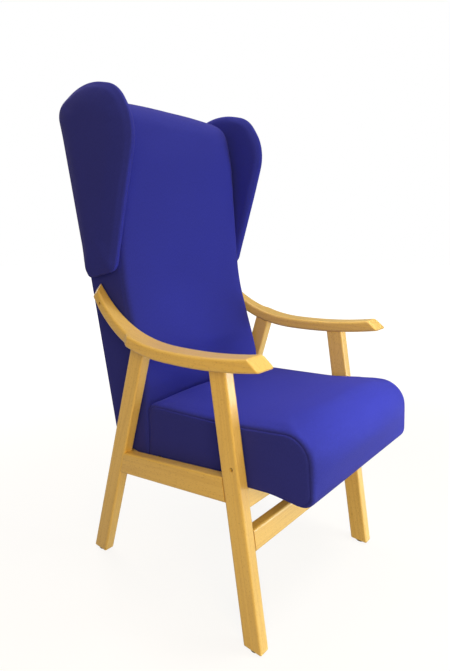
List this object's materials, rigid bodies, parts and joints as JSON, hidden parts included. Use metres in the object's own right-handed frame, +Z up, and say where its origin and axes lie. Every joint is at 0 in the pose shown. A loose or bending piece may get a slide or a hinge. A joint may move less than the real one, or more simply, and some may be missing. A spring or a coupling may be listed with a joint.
{
  "type": "fireside chair with wings",
  "caption": "High-backed wing chair with a beech frame, splayed legs, bowed open armrests and an upholstered blue seat, back and wings.",
  "frame": {"origin": "on the floor, under the middle of the chair's bounding box", "axes": "+X to the sitter's left, +Y to the rear, so that the seat faces -Y, and +Z up"},
  "size_m": [0.572, 0.7797, 1.2289],
  "materials": {
    "beech": "clear satin varnish over natural beech",
    "blue_fabric": "close-woven royal blue upholstery with a soft sheen",
    "plywood": "raw board inside the upholstery",
    "foam": "soft cut foam inside the covers",
    "webbing": "matt elastic strap",
    "base_cloth": "thin dark cloth",
    "steel": "dull zinc plate",
    "dark_plastic": "matt"
  },
  "bodies": {
    "root": {"armrest_left": "beech", "armrest_right": "beech", "front_leg_left": "beech", "front_leg_right": "beech", "rear_leg_left": "beech", "rear_leg_right": "beech", "side_rail_left": "beech", "side_rail_right": "beech", "front_cross_rail": "beech", "seat_cross_rail": "beech", "rear_cross_rail": "beech", "arm_dowels": "beech", "side_rail_dowels": "beech", "cross_rail_dowels": "beech", "floor_glides": "dark_plastic", "seat_side_member_left": "plywood", "seat_side_member_right": "plywood", "seat_front_member": "plywood", "seat_rear_member": "plywood", "seat_frame_dowels": "beech", "seat_corner_blocks": "plywood", "seat_webbing": "webbing", "seat_foam": "foam", "seat_cover_top": "blue_fabric", "seat_cover_side_left": "blue_fabric", "seat_cover_side_right": "blue_fabric", "seat_base_cloth": "base_cloth", "back_stile_left": "plywood", "back_stile_right": "plywood", "back_top_rail": "plywood", "back_lumbar_rail": "plywood", "back_bottom_rail": "plywood", "back_frame_dowels": "beech", "back_webbing": "webbing", "back_foam": "foam", "back_cover_front": "blue_fabric", "back_cover_side_left": "blue_fabric", "back_cover_side_right": "blue_fabric", "back_panel": "blue_fabric", "wing_board_left": "plywood", "wing_board_right": "plywood", "wing_foam_left": "foam", "wing_foam_right": "foam", "wing_cover_left": "blue_fabric", "wing_cover_right": "blue_fabric", "wing_screws": "steel", "seat_bolts": "steel", "seat_inserts": "steel", "seat_rail_screws": "steel", "seat_spacers": "dark_plastic", "arm_bolts": "steel", "arm_inserts": "steel", "back_bolts": "steel", "back_inserts": "steel", "back_spacers": "dark_plastic"}
  },
  "joints": []
}
